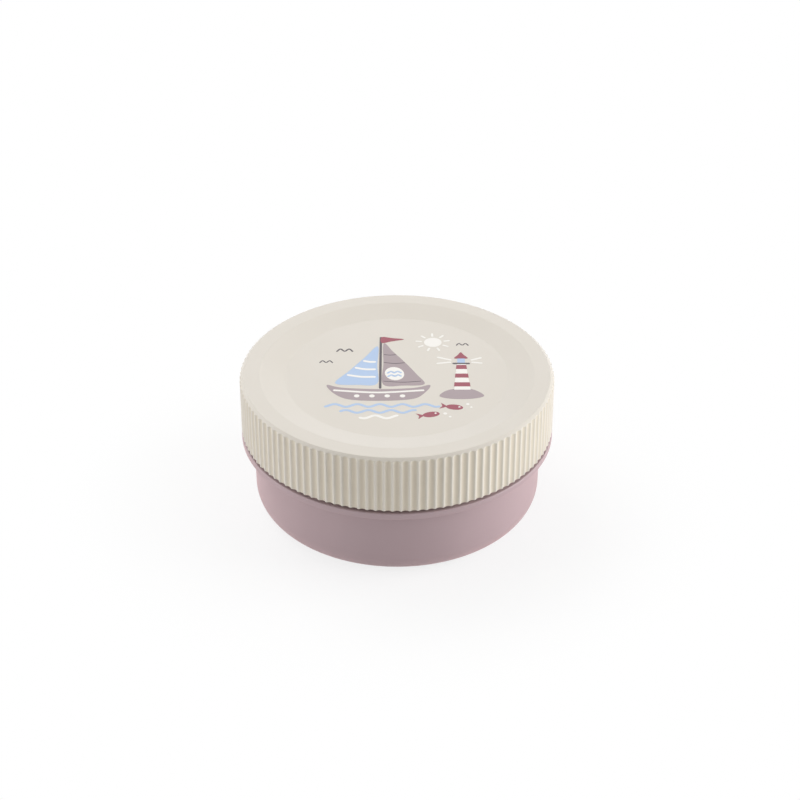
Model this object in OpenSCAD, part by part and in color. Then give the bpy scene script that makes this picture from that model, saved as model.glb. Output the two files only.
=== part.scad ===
// Round snack container with a screw lid: a bowl with a stop flange and a
// threaded neck, a fluted lid with a dished top, and the flat ring that seals
// the bowl's rim. The origin is the centre of the base, and Z points up.
// All sizes are in millimetres.

/* [Overall] */
// Diameter over the grip ridges of the lid and over the flange of the bowl
outer_d = 115; // [105:1:130]
// Height of the closed container
total_h = 53.6; // [52:0.2:64]

/* [Bowl] */
// Height of the underside of the flange above the base
flange_z = 28.2; // [26:0.1:30]
// Thickness of the flange
flange_t = 2.5; // [1.8:0.1:2.6]
// How far the flange stands out from the wall of the bowl
flange_reach = 4.5; // [3.6:0.1:4.6]
// Draft of the bowl's wall from the flange to the foot, on the radius
wall_draft = 0.1; // [0.1:0.1:0.8]
// Radius of the rounding between wall and foot
foot_round = 8.8; // [7:0.2:11]
// Thickness of the bowl's wall and floor
bowl_wall = 2.1; // [1.8:0.1:2.3]
// Depth of the shallow recess under the floor
foot_recess = 0.8; // [0.4:0.1:1.2]
// Width of the flat ring that the bowl stands on
foot_land = 3.4; // [2:0.2:6]

/* [Lid] */
// Height of the gap between the lid's edge and the flange
edge_gap = 1.1; // [0.8:0.1:1.6]
// Thickness of the lid's top
lid_top_t = 1.8; // [1.6:0.1:2]
// Width of the chamfer along the top edge
chamfer_w = 1.4; // [1:0.1:1.8]
// Height of the chamfer along the top edge
chamfer_h = 1.1; // [0.8:0.1:1.4]
// Width of the flat rim round the dished top, measured from the grip ridges
rim_w = 7.3; // [6:0.1:9]
// Width of the slope from the rim down to the middle of the lid
slope_w = 9.3; // [6:0.1:12]
// Depth of the dish
dish_depth = 1.7; // [1.4:0.1:2.6]
// Number of grip flutes round the skirt
flute_count = 120; // [90:1:132]
// Depth of a grip flute
flute_depth = 0.54; // [0.4:0.02:0.8]
// Width of the ridge left between two flutes
ridge_w = 0.4; // [0.3:0.05:0.8]

/* [Thread] */
// Number of thread ridges on the bowl, and of lugs in the lid
thread_starts = 4; // [3:1:5]
// Rise of the lid in one full turn
thread_lead = 24; // [20:1:26]
// Height of a thread ridge above its wall
thread_h = 1.3; // [1.1:0.05:1.35]
// Angle that a thread ridge of the bowl covers
bowl_ridge_span = 78; // [40:2:80]
// Angle that a thread lug of the lid covers
lid_lug_span = 48; // [20:2:60]

/* [Seal] */
// Thickness of the sealing ring
seal_t = 2.2; // [1.8:0.1:2.4]
// Gap left between the sealing ring and what it lies against
seal_gap = 0.1; // [0.05:0.05:0.15]

/* [Hidden] */
$fn = 180;

outer_r = outer_d / 2;

// Running gap between thread crests and the wall that they face
thread_gap = 0.3;
// Gap between two thread flanks that face each other
flank_gap = 0.15;
// How far a thread ridge is rooted in its wall
thread_root = 0.5;
// Half of a thread ridge's height along Z, at its wall and at its crest
ridge_half_root = 1.2;
ridge_half_crest = 0.55;
// Angle over which each end of a thread ridge runs out
runout = 10;
// Angle between two cross-sections of a thread ridge
thread_step = 2;
// Height of the lower end of the lid's lugs above the edge of the skirt
lug_lift = 3;

// Bowl
flange_r = outer_r;
flange_top = flange_z + flange_t;
body_r_top = outer_r - flange_reach;
body_r_foot = body_r_top - wall_draft;
neck_r = outer_r - 4.2;
rim_inner_r = neck_r - 2;
inner_r_foot = body_r_foot - bowl_wall;
foot_r = body_r_foot - foot_round;
floor_top = foot_recess + bowl_wall;
inner_round = foot_round - bowl_wall;

// Lid
lid_edge_z = flange_top + edge_gap;
skirt_inner_r = neck_r + thread_h + thread_gap;
rim_under_z = total_h - lid_top_t;
dish_top_z = total_h - dish_depth;
dish_under_z = dish_top_z - lid_top_t;
slope_outer_r = outer_r - rim_w;
slope_inner_r = slope_outer_r - slope_w;
mouth_chamfer = 0.6;
flute_pitch = 360 / flute_count;
flute_chord = 2 * outer_r * sin(flute_pitch / 2) - ridge_w;
flute_cut_r = (pow(flute_chord / 2, 2) + pow(flute_depth, 2)) / (2 * flute_depth);

// Ring that locates the lid in the bowl and holds the seal
locator_outer_r = rim_inner_r - 1.1;
locator_t = 1.2;
locator_drop = 3.9;
// Bead below the seal that keeps it in its groove
bead_r = 0.35;

// Seal, between the underside of the lid's rim and the top of the bowl's rim
seal_top = rim_under_z - seal_gap;
seal_bottom = seal_top - seal_t;
seal_inner_r = locator_outer_r + 2 * seal_gap;
seal_outer_r = skirt_inner_r - thread_gap;
bowl_top = seal_bottom - seal_gap;
bowl_rim_round = 0.9;

// Slope of a thread flank: lost half height per millimetre of radius
flank_slope = (ridge_half_root - ridge_half_crest) / thread_h;
// Drop from a ridge of the bowl to the lug that bears on it from below
lug_drop = 2 * ridge_half_root - flank_slope * (thread_h + thread_gap) + flank_gap;
lug_z = lid_edge_z + lug_lift;
bowl_ridge_z = lug_z + lug_drop;

// Takes the outer corner c of a section off with a rounding of radius r. The
// corner points to the side sx along X and to the side sy along Y.
module corner_cut(c, r, sx, sy) {
    spill = 0.4;
    side = r + spill;
    centre = c - r * [sx, sy];
    difference() {
        translate(centre + side / 2 * [sx, sy]) square(side, center = true);
        translate(centre) circle(r = r);
    }
}

// Fills the inner corner c of a section with a fillet of radius r that lies
// on the side sx along X and on the side sy along Y
module corner_fill(c, r, sx, sy) {
    spill = 0.4;
    side = r + spill;
    centre = c + r * [sx, sy];
    difference() {
        translate(centre - side / 2 * [sx, sy]) square(side, center = true);
        translate(centre) circle(r = r);
    }
}

// How much of its full height a ridge has at angle a of its span
function ridge_share(a, span) =
    let (t = min(1, a / runout, (span - a) / runout)) t * t * (3 - 2 * t);

// Cross-section of a thread ridge as [radius, height] pairs. The sign of
// thread_side is 1 for a ridge that points outwards and -1 for one that
// points inwards.
function ridge_section(wall_r, thread_side, share, z) =
    let (hidden = thread_root / 2)
    let (crest = share * (thread_h + hidden) - hidden)
    let (half_root = ridge_half_root + flank_slope * thread_root)
    let (half_crest = ridge_half_root - flank_slope * crest)
    let (root_r = wall_r - thread_side * thread_root)
    let (crest_r = wall_r + thread_side * crest)
    [[root_r, z - half_root], [crest_r, z - half_crest],
     [crest_r, z + half_crest], [root_r, z + half_root]];

// One thread ridge that climbs counter-clockwise from angle 0 and height z0
module thread_ridge(wall_r, thread_side, span, z0) {
    rings = round(span / thread_step);
    points = [
        for (i = [0:rings])
            let (a = span * i / rings)
            for (p = ridge_section(wall_r, thread_side, ridge_share(a, span), z0 + thread_lead * a / 360))
                [p[0] * cos(a), p[0] * sin(a), p[1]]
    ];
    sides = [
        for (i = [0:rings - 1], j = [0:3])
            let (k = (j + 1) % 4, low = 4 * i, high = 4 * i + 4)
            for (face = [[low + j, low + k, high + j], [low + k, high + k, high + j]])
                face
    ];
    last = 4 * rings;
    ends = [[0, 2, 1], [0, 3, 2], [last, last + 1, last + 2], [last, last + 2, last + 3]];
    faces = concat(sides, ends);
    polyhedron(
        points = points,
        faces = thread_side > 0 ? faces : [for (f = faces) [f[2], f[1], f[0]]],
        convexity = 4
    );
}

module thread_ridges(wall_r, thread_side, span, z0) {
    for (i = [0:thread_starts - 1])
        rotate([0, 0, i * 360 / thread_starts])
            thread_ridge(wall_r, thread_side, span, z0);
}

// Half section of the bowl without its thread
module bowl_section() {
    flange_round = 0.5;
    flange_fillet = 0.6;
    difference() {
        union() {
            polygon([
                [0, foot_recess], [foot_r - foot_land - 0.8, foot_recess], [foot_r - foot_land, 0],
                [body_r_foot, 0], [body_r_foot, foot_round], [body_r_top, flange_z],
                [flange_r, flange_z], [flange_r, flange_top], [neck_r, flange_top],
                [neck_r, bowl_top], [rim_inner_r, bowl_top],
                [inner_r_foot, floor_top + inner_round], [inner_r_foot, floor_top], [0, floor_top]
            ]);
            corner_fill([inner_r_foot, floor_top], inner_round, -1, 1);
            corner_fill([body_r_top, flange_z], flange_fillet, 1, -1);
        }
        corner_cut([body_r_foot, 0], foot_round, 1, -1);
        corner_cut([flange_r, flange_z], flange_round, 1, -1);
        corner_cut([flange_r, flange_top], flange_round, 1, 1);
        corner_cut([neck_r, bowl_top], bowl_rim_round, 1, 1);
        corner_cut([rim_inner_r, bowl_top], bowl_rim_round, -1, 1);
    }
}

module bowl() {
    color([0.75, 0.66, 0.68])
        union() {
            rotate_extrude() bowl_section();
            thread_ridges(neck_r, 1, bowl_ridge_span, bowl_ridge_z);
        }
}

// Half section of the sealing ring
module seal_section() {
    seal_round = 0.6;
    difference() {
        translate([seal_inner_r, seal_bottom])
            square([seal_outer_r - seal_inner_r, seal_t]);
        corner_cut([seal_outer_r, seal_top], seal_round, 1, 1);
        corner_cut([seal_inner_r, seal_top], seal_round, -1, 1);
        corner_cut([seal_inner_r, seal_bottom], seal_round, -1, -1);
        corner_cut([seal_outer_r, seal_bottom], seal_round, 1, -1);
    }
}

module seal_ring() {
    color([0.9, 0.9, 0.88])
        rotate_extrude() seal_section();
}

// Half section of the lid before the flutes are cut
module lid_section() {
    locator_inner_r = locator_outer_r - locator_t;
    locator_bottom = rim_under_z - locator_drop;
    locator_chamfer = 0.4;
    bead_z = seal_bottom - 0.2 - bead_r;
    under_slope = dish_depth / slope_w;
    locator_root_z = rim_under_z - under_slope * (slope_outer_r - locator_inner_r);
    union() {
        polygon([
            [0, dish_under_z], [slope_inner_r, dish_under_z],
            [locator_inner_r, locator_root_z],
            [locator_inner_r, locator_bottom + locator_chamfer],
            [locator_inner_r + locator_chamfer, locator_bottom],
            [locator_outer_r - locator_chamfer, locator_bottom],
            [locator_outer_r, locator_bottom + locator_chamfer],
            [locator_outer_r, rim_under_z], [skirt_inner_r, rim_under_z],
            [skirt_inner_r, lid_edge_z + mouth_chamfer],
            [skirt_inner_r + mouth_chamfer, lid_edge_z],
            [outer_r, lid_edge_z],
            [outer_r, total_h - chamfer_h], [outer_r - chamfer_w, total_h],
            [slope_outer_r, total_h], [slope_inner_r, dish_top_z], [0, dish_top_z]
        ]);
        translate([locator_outer_r, bead_z]) circle(r = bead_r, $fn = 32);
    }
}

// The flutes run the full height of the skirt and end on the chamfer
module flutes() {
    overshoot = 1;
    for (i = [0:flute_count - 1])
        rotate([0, 0, i * flute_pitch])
            translate([outer_r - flute_depth + flute_cut_r, 0, lid_edge_z - overshoot])
                cylinder(r = flute_cut_r, h = total_h - lid_edge_z + 2 * overshoot, $fn = 32);
}

module screw_lid() {
    color([0.89, 0.87, 0.83])
        union() {
            difference() {
                rotate_extrude() lid_section();
                flutes();
            }
            thread_ridges(skirt_inner_r, -1, lid_lug_span, lug_z);
        }
}

bowl();
seal_ring();
screw_lid();
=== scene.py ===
"""Looks of the screw-lid snack container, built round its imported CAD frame.

Lengths are in metres. The container stands on z = 0 with its axis along Z, and
its front, from which the picture on the lid is seen upright, faces -Y.
"""
from __future__ import annotations

import logging
import math
from dataclasses import dataclass, field
from enum import Enum
from typing import Sequence

import bpy
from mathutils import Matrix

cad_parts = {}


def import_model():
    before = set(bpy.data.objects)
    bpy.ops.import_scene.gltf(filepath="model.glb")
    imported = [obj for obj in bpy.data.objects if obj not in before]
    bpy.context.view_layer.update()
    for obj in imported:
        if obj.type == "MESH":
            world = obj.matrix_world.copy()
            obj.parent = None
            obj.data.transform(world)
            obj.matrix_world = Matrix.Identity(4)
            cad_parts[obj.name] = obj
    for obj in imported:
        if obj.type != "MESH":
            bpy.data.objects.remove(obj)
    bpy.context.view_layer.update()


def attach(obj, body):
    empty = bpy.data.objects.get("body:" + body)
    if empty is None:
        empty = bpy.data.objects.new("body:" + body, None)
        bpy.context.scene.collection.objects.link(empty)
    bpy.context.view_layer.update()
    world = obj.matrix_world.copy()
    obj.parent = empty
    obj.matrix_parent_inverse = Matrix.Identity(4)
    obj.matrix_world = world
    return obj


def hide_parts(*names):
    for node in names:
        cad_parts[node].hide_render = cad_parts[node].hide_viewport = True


LOG = logging.getLogger("snack_container")

Pair = tuple[float, float]
Triple = tuple[float, float, float]
Socket = bpy.types.NodeSocket

MM = 0.001
FRONT = -math.pi / 2
FULL_TURN = 2 * math.pi
# Distances within which vertices are merged, on a whole piece and on one fine slice
WELD = 1e-6
FINE_WELD = WELD / 10
WHITE = (1.0, 1.0, 1.0, 1.0)


class Body(Enum):
    """Bodies of the frame that a piece can ride on."""

    BOWL = "bowl"
    SEAL = "seal"
    LID = "lid"


class Slot(Enum):
    """Material slots of the record that a piece can take its finish from."""

    BOWL = "bowl_plastic"
    SEAL = "seal_silicone"
    LID = "lid_plastic"


class Solid(Enum):
    """Solids of the frame that finer pieces replace."""

    BOWL = "bowl"
    SEAL = "seal_ring"
    LID = "screw_lid"


class Ink(Enum):
    """Inks of the picture on the lid."""

    TAUPE = "taupe"
    SKY = "sky"
    BERRY = "berry"
    IVORY = "ivory"
    SLATE = "slate"


# ---------------------------------------------------------------- modelling


def deselect_all() -> None:
    """Go back to object mode with nothing selected."""
    if bpy.context.object and bpy.context.object.mode != "OBJECT":
        bpy.ops.object.mode_set(mode="OBJECT")
    bpy.ops.object.select_all(action="DESELECT")


def select_only(pieces: Sequence[bpy.types.Object]) -> None:
    """Select just the given pieces and make the first one active.

    Args:
        pieces: The pieces.
    """
    deselect_all()
    for piece in pieces:
        piece.select_set(True)
    bpy.context.view_layer.objects.active = pieces[0]


def select_vertices(piece: bpy.types.Object, chosen: Sequence[int]) -> None:
    """Select just some vertices of the piece that is being edited.

    Args:
        piece: The piece, in edit mode.
        chosen: Indices of the vertices to select.
    """
    bpy.ops.mesh.select_all(action="DESELECT")
    bpy.ops.mesh.select_mode(type="VERT")
    bpy.ops.object.mode_set(mode="OBJECT")
    for index in chosen:
        piece.data.vertices[index].select = True
    bpy.ops.object.mode_set(mode="EDIT")


def start_point(name: str, place: Triple) -> bpy.types.Object:
    """Add a small plane and merge it to a single vertex.

    Args:
        name: Name of the new piece.
        place: Where the vertex goes.

    Returns:
        The new object, active and in edit mode with its vertex selected.
    """
    deselect_all()
    bpy.ops.mesh.primitive_plane_add(size=MM)
    piece = bpy.context.object
    piece.name = name
    piece.data.name = name
    bpy.ops.object.mode_set(mode="EDIT")
    bpy.ops.mesh.select_all(action="SELECT")
    bpy.ops.mesh.merge(type="CENTER")
    bpy.ops.transform.translate(value=place)
    return piece


def draw_chain(name: str, places: Sequence[Triple], closed: bool = False) -> bpy.types.Object:
    """Draw a chain of edges by extruding one vertex from place to place.

    Args:
        name: Name of the new piece.
        places: Places of the chain's vertices, in order.
        closed: Whether the last vertex is joined to the first one.

    Returns:
        The new object, active and in edit mode with its whole chain selected.
    """
    piece = start_point(name, places[0])
    for here, there in zip(places, places[1:]):
        step = tuple(b - a for a, b in zip(here, there))
        bpy.ops.mesh.extrude_vertices_move(TRANSFORM_OT_translate={"value": step})
    if closed:
        select_vertices(piece, (0, len(places) - 1))
        bpy.ops.mesh.edge_face_add()
    bpy.ops.mesh.select_all(action="SELECT")
    return piece


def weld(threshold: float = WELD) -> None:
    """Merge the vertices of the edited piece that share a place."""
    bpy.ops.mesh.select_all(action="SELECT")
    bpy.ops.mesh.remove_doubles(threshold=threshold)


def close_mesh(piece: bpy.types.Object, crease: float = 32) -> bpy.types.Object:
    """Merge doubles, turn the faces outwards and shade a piece smooth.

    Args:
        piece: The piece, in edit or object mode.
        crease: Angle in degrees over which an edge stays sharp.

    Returns:
        The same piece, in object mode.
    """
    if piece.mode != "EDIT":
        select_only([piece])
        bpy.ops.object.mode_set(mode="EDIT")
    weld()
    bpy.ops.mesh.normals_make_consistent(inside=False)
    bpy.ops.object.mode_set(mode="OBJECT")
    bpy.ops.object.shade_smooth_by_angle(angle=math.radians(crease))
    return piece


def spin(steps: int, angle: float, copies: bool = False) -> None:
    """Spin the edited piece counter-clockwise round the Z axis.

    Args:
        steps: Number of steps.
        angle: Whole angle of the spin. Without a window the operator turns
            the other way, so it is given the angle's negative.
        copies: Whether the steps are copies, not one connected surface.
    """
    bpy.ops.mesh.select_all(action="SELECT")
    bpy.ops.mesh.spin(steps=steps, dupli=copies, angle=-angle, center=(0, 0, 0), axis=(0, 0, 1))


def turned_copy(piece: bpy.types.Object, name: str, angle: float) -> bpy.types.Object:
    """Copy a piece with its mesh and turn the copy round the Z axis.

    Args:
        piece: The piece to copy.
        name: Name of the copy.
        angle: Angle of the copy from the piece.

    Returns:
        The copy, whose turn is applied to its mesh.
    """
    select_only([piece])
    bpy.ops.object.duplicate(linked=False)
    copy = bpy.context.object
    copy.name = name
    copy.data.name = name
    copy.rotation_euler = (0, 0, angle)
    bpy.ops.object.transform_apply(location=True, rotation=True, scale=True)
    return copy


def join_pieces(pieces: Sequence[bpy.types.Object]) -> bpy.types.Object:
    """Join pieces into the first one, which keeps its name.

    Args:
        pieces: The pieces.

    Returns:
        The joined piece, in object mode.
    """
    select_only(pieces)
    bpy.ops.object.join()
    return pieces[0]


@dataclass
class Section:
    """Half section of a round piece, drawn as pairs of radius and height."""

    pairs: list[Pair] = field(default_factory=list)

    def line(self, *pairs: Pair) -> Section:
        """Go straight to each of the given pairs of radius and height."""
        self.pairs.extend(pairs)
        return self

    def rows(self, end: Pair, count: int) -> Section:
        """Go straight to a pair, in equal steps.

        Args:
            end: The pair of radius and height to go to.
            count: Number of steps on the way.

        Returns:
            The section itself.
        """
        start = self.pairs[-1]
        for i in range(1, count + 1):
            self.pairs.append(tuple(a + (b - a) * i / count for a, b in zip(start, end)))
        return self

    def arc(self, centre: Pair, radius: float, start: float, end: float, count: int) -> Section:
        """Follow an arc.

        Args:
            centre: Centre of the arc, as radius and height.
            radius: Radius of the arc.
            start: Angle at which the arc starts, in degrees from outwards.
            end: Angle at which the arc ends.
            count: Number of steps along the arc.

        Returns:
            The section itself.
        """
        for i in range(count + 1):
            angle = math.radians(start + (end - start) * i / count)
            self.pairs.append(point_at(centre, radius, angle))
        return self

    def places(self, angle: float = FRONT) -> list[Triple]:
        """Places of the section's points in the upright plane at an angle."""
        return [(r * math.cos(angle), r * math.sin(angle), z) for r, z in self.pairs]


def turn(name: str, section: Section, columns: int, closed: bool) -> bpy.types.Object:
    """Turn a half section round the Z axis into a closed piece.

    Args:
        name: Name of the new piece.
        section: The half section.
        columns: Number of columns of faces all round.
        closed: Whether the section is a ring of its own, off the axis.

    Returns:
        The new piece, in object mode.
    """
    piece = draw_chain(name, section.places(), closed)
    spin(columns, FULL_TURN)
    return close_mesh(piece)


def point_at(middle: Pair, radius: float, angle: float) -> Pair:
    """Point at a radius and an angle from a middle."""
    return middle[0] + radius * math.cos(angle), middle[1] + radius * math.sin(angle)


# ---------------------------------------------------------------- container


class Assembly:
    """A sub-assembly, whose pieces ride on one body and take one finish.

    Where the pieces stand in for a solid of the frame, it is named too.
    """

    body: Body
    slot: Slot
    solid: Solid | None = None

    def dress(self, pieces: Sequence[bpy.types.Object], look: bpy.types.Material) -> None:
        """Give pieces their material and tie them to the frame.

        Args:
            pieces: Pieces of this sub-assembly.
            look: Their material.
        """
        for piece in pieces:
            piece.data.materials.clear()
            piece.data.materials.append(look)
            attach(piece, self.body.value)
            if self.solid:
                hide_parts(self.solid.value)
            faces = len(piece.data.polygons)
            LOG.info("%s: %d faces, rides on %s", piece.name, faces, self.body.value)


@dataclass(frozen=True)
class Fit:
    """Sizes by which the bowl, the seal and the lid fit each other."""

    outer: float = 57.5 * MM
    height: float = 53.6 * MM
    flange_under: float = 28.2 * MM
    flange_thickness: float = 2.5 * MM
    edge_gap: float = 1.1 * MM
    lid_thickness: float = 1.8 * MM
    neck_inset: float = 4.2 * MM
    neck_thickness: float = 2.0 * MM
    locator_gap: float = 1.1 * MM
    seal_thickness: float = 2.2 * MM
    seal_gap: float = 0.1 * MM
    thread_starts: int = 4
    thread_lead: float = 24 * MM
    thread_height: float = 1.3 * MM
    thread_gap: float = 0.3 * MM
    half_root: float = 1.2 * MM
    half_crest: float = 0.55 * MM
    flank_gap: float = 0.15 * MM
    lug_lift: float = 3.0 * MM

    @property
    def flange_top(self) -> float:
        """Height of the top of the bowl's flange."""
        return self.flange_under + self.flange_thickness

    @property
    def lid_edge(self) -> float:
        """Height of the lower edge of the closed lid."""
        return self.flange_top + self.edge_gap

    @property
    def neck(self) -> float:
        """Outer radius of the bowl's neck."""
        return self.outer - self.neck_inset

    @property
    def mouth(self) -> float:
        """Inner radius of the bowl's rim."""
        return self.neck - self.neck_thickness

    @property
    def skirt_inner(self) -> float:
        """Inner radius of the lid's skirt."""
        return self.neck + self.thread_height + self.thread_gap

    @property
    def locator_outer(self) -> float:
        """Outer radius of the ring under the lid that locates it in the bowl."""
        return self.mouth - self.locator_gap

    @property
    def rim_under(self) -> float:
        """Height of the underside of the lid's flat rim."""
        return self.height - self.lid_thickness

    @property
    def seal_top(self) -> float:
        """Height of the top of the seal."""
        return self.rim_under - self.seal_gap

    @property
    def seal_bottom(self) -> float:
        """Height of the seal's underside."""
        return self.seal_top - self.seal_thickness

    @property
    def bowl_rim(self) -> float:
        """Height of the bowl's rim."""
        return self.seal_bottom - self.seal_gap

    @property
    def flank_slope(self) -> float:
        """Half height that a thread ridge loses for each unit of radius."""
        return (self.half_root - self.half_crest) / self.thread_height

    @property
    def lug_start(self) -> float:
        """Height at which the lid's thread lugs start."""
        return self.lid_edge + self.lug_lift

    @property
    def ridge_start(self) -> float:
        """Height at which the bowl's thread ridges start, just above the lugs."""
        lost = self.flank_slope * (self.thread_height + self.thread_gap)
        return self.lug_start + 2 * self.half_root - lost + self.flank_gap


@dataclass(frozen=True)
class Thread:
    """A run of equal thread ridges on a round wall.

    The span, the crease, the runout and the step are angles in degrees.
    """

    name: str
    wall: float
    outwards: bool
    start_height: float
    span: float
    fit: Fit = Fit()
    rooted: float = 0.4 * MM
    # Rounding from flank to crest, as depths under the crest and distances in from the flank
    crest_round: tuple[Pair, ...] = ((0.3 * MM, 0.0), (0.09 * MM, 0.16 * MM), (0.0, 0.38 * MM))
    crease: float = 50
    runout: float = 10
    step: float = 1.5

    def outline(self) -> Section:
        """Draw the cross-section of a ridge, with a rounded crest.

        Returns:
            The closed section, with the middle of the ridge at height 0.
        """
        side = 1 if self.outwards else -1
        slope = self.fit.flank_slope
        crest = self.wall + side * self.fit.thread_height
        near = self.fit.half_crest + slope * self.crest_round[0][0]
        upper = [(self.wall - side * self.rooted, self.fit.half_root + slope * self.rooted),
                 (self.wall, self.fit.half_root)]
        upper += [(crest - side * depth, near - inset) for depth, inset in self.crest_round]
        lower = [(radius, -height) for radius, height in upper]
        return Section(lower + upper[::-1])

    def share(self, travel: float) -> float:
        """How much of its height the ridge has after travel degrees."""
        t = max(0.0, min(1.0, travel / self.runout, (self.span - travel) / self.runout))
        return t * t * (3 - 2 * t)

    def climb(self, place: Triple) -> Triple:
        """Lift a place of the level ridge onto the thread's helix.

        Args:
            place: Place on a ridge of full height that doesn't climb.

        Returns:
            The place on the real ridge, which also runs out at its ends.
        """
        x, y, z = place
        travel = max(0.0, math.atan2(y, x))
        radius = math.hypot(x, y)
        stand = abs(radius - self.wall) * (1 if (radius > self.wall) == self.outwards else -1)
        if stand > 0:
            hidden = self.rooted / 2
            stand = self.share(math.degrees(travel)) * (stand + hidden) - hidden
        radius = self.wall + (stand if self.outwards else -stand)
        height = self.start_height + z + self.fit.thread_lead * travel / FULL_TURN
        return radius * math.cos(travel), radius * math.sin(travel), height

    def build(self) -> list[bpy.types.Object]:
        """Model one ridge, then copy it round the wall.

        Returns:
            The ridges, one piece each.
        """
        first = draw_chain(f"{self.name}_1", self.outline().places(0), closed=True)
        spin(round(self.span / self.step), math.radians(self.span))
        weld()
        bpy.ops.object.mode_set(mode="OBJECT")
        for vertex in first.data.vertices:
            vertex.co = self.climb(vertex.co)
        bpy.ops.object.mode_set(mode="EDIT")
        bpy.ops.mesh.select_all(action="DESELECT")
        bpy.ops.mesh.select_non_manifold()
        bpy.ops.mesh.edge_face_add()
        close_mesh(first, self.crease)
        ridges = [first]
        for i in range(1, self.fit.thread_starts):
            angle = FULL_TURN * i / self.fit.thread_starts
            ridges.append(turned_copy(first, f"{self.name}_{i + 1}", angle))
        return ridges


@dataclass(frozen=True)
class Bowl(Assembly):
    """The mauve bowl: foot, wall, stop flange, threaded neck and rim."""

    body = Body.BOWL
    slot = Slot.BOWL
    solid = Solid.BOWL
    fit: Fit = Fit()
    flange_reach: float = 4.5 * MM
    flange_round: float = 0.5 * MM
    flange_fillet: float = 0.6 * MM
    draft: float = 0.1 * MM
    # Draft that the wall still has to go where the fillet under the flange starts
    last_draft: float = 0.01 * MM
    wall: float = 2.1 * MM
    foot_round: float = 8.8 * MM
    foot_land: float = 3.4 * MM
    # Ring of vertices that keeps the land flat, inside the foot's rounding
    land_ring: float = 1.5 * MM
    recess: float = 0.8 * MM
    # Step from the land up to the recess, as distances inside the land
    step_bottom: float = 0.1 * MM
    step_top: float = 1.1 * MM
    rim_round: float = 0.9 * MM
    soft: float = 0.3 * MM
    # Rings of vertices on the flat of the floor and of the recess
    floor_rings: Pair = (12 * MM, 30 * MM)
    thread_span: float = 78
    columns: int = 240

    def section(self) -> Section:
        """Draw the half section of the bowl, from under its middle to above it.

        Returns:
            The open section, whose two ends are on the axis.
        """
        fit = self.fit
        soft = self.soft
        wall_top = fit.outer - self.flange_reach
        wall_foot = wall_top - self.draft
        foot = wall_foot - self.foot_round
        land = foot - self.foot_land
        outline = Section([(0, self.recess)])
        outline.line(*((radius, self.recess) for radius in self.floor_rings))
        outline.arc((land - self.step_top, self.recess - soft), soft, 90, 45, 3)
        outline.arc((land - self.step_bottom, soft), soft, 225, 270, 3)
        outline.line((foot - self.land_ring, 0))
        outline.arc((foot, self.foot_round), self.foot_round, -90, 0, 22)

        fillet = self.flange_fillet
        edge = self.flange_round
        outline.rows((wall_top - self.last_draft, fit.flange_under - fillet), 6)
        outline.arc((wall_top + fillet, fit.flange_under - fillet), fillet, 180, 90, 5)
        outline.arc((fit.outer - edge, fit.flange_under + edge), edge, -90, 0, 6)
        outline.arc((fit.outer - edge, fit.flange_top - edge), edge, 0, 90, 6)
        outline.arc((fit.neck + soft, fit.flange_top + soft), soft, 270, 180, 4)

        rim = self.rim_round
        outline.rows((fit.neck, fit.bowl_rim - rim), 5)
        outline.arc((fit.neck - rim, fit.bowl_rim - rim), rim, 8, 90, 7)
        outline.arc((fit.mouth + rim, fit.bowl_rim - rim), rim, 90, 180, 8)

        floor = self.recess + self.wall
        inner_foot = wall_foot - self.wall
        inner_round = self.foot_round - self.wall
        outline.rows((inner_foot, floor + inner_round), 8)
        outline.arc((inner_foot - inner_round, floor + inner_round), inner_round, -4, -90, 16)
        outline.line(*((radius, floor) for radius in self.floor_rings[::-1]))
        return outline.line((0, floor))

    def build(self) -> list[bpy.types.Object]:
        """Model the bowl and its thread.

        Returns:
            The bowl's shell and its thread ridges.
        """
        shell = turn("bowl_shell", self.section(), self.columns, closed=False)
        fit = self.fit
        thread = Thread("bowl_thread", fit.neck, True, fit.ridge_start, self.thread_span, fit)
        return [shell, *thread.build()]


@dataclass(frozen=True)
class Seal(Assembly):
    """The soft ring between the bowl's rim and the underside of the lid's rim."""

    body = Body.SEAL
    slot = Slot.SEAL
    solid = Solid.SEAL
    fit: Fit = Fit()
    rounding: float = 0.6 * MM
    # Middle of each groove of the underside, from the nearer side of the ring
    groove_inset: float = 1.5 * MM
    groove_depth: float = 0.12 * MM
    groove_half: float = 0.35 * MM
    groove_roof_half: float = 0.15 * MM
    columns: int = 240

    def section(self) -> Section:
        """Draw the section of the ring, with two fine grooves underneath.

        Returns:
            The closed section.
        """
        r = self.rounding
        inner = self.fit.locator_outer + 2 * self.fit.seal_gap
        outer = self.fit.skirt_inner - self.fit.thread_gap
        top = self.fit.seal_top
        bottom = self.fit.seal_bottom
        roof = bottom + self.groove_depth
        outline = Section()
        outline.arc((outer - r, top - r), r, 0, 90, 6)
        outline.arc((inner + r, top - r), r, 90, 180, 6)
        outline.arc((inner + r, bottom + r), r, 180, 270, 6)
        for middle in (inner + self.groove_inset, outer - self.groove_inset):
            outline.line((middle - self.groove_half, bottom), (middle - self.groove_roof_half, roof),
                         (middle + self.groove_roof_half, roof), (middle + self.groove_half, bottom))
        return outline.arc((outer - r, bottom + r), r, 270, 354, 6)

    def build(self) -> list[bpy.types.Object]:
        """Model the ring."""
        return [turn("seal_ring_soft", self.section(), self.columns, closed=True)]


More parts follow.
